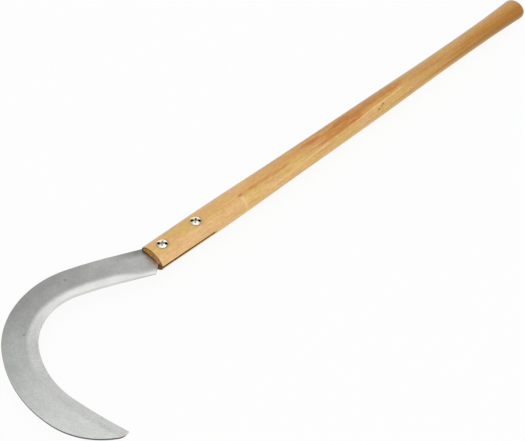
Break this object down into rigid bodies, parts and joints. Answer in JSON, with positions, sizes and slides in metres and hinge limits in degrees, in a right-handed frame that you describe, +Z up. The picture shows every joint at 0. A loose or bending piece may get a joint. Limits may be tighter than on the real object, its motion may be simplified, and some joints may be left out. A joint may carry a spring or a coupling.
{
  "type": "brush hook",
  "caption": "Long-handled brush hook: curved single-bevel steel blade screwed into the slotted end of an oval wooden handle with a flared butt.",
  "frame": {"origin": "centre of the bounding box in X and Y, at the height of the lowest point (the screw ends)", "axes": "+X along the handle towards the butt, +Y towards the back of the tool, away from the hook's mouth, +Z up out of the blade's ground face"},
  "size_m": [0.8218, 0.2072, 0.0324],
  "materials": {
    "blade_steel": "rolled flat with a ground bevel",
    "handle_wood": "clear lacquered hardwood",
    "fastener": "bright plated steel"
  },
  "bodies": {
    "root": {"blade": "blade_steel", "handle": "handle_wood", "screw_front": "fastener", "screw_rear": "fastener", "nut_front": "fastener", "nut_rear": "fastener"}
  },
  "joints": []
}
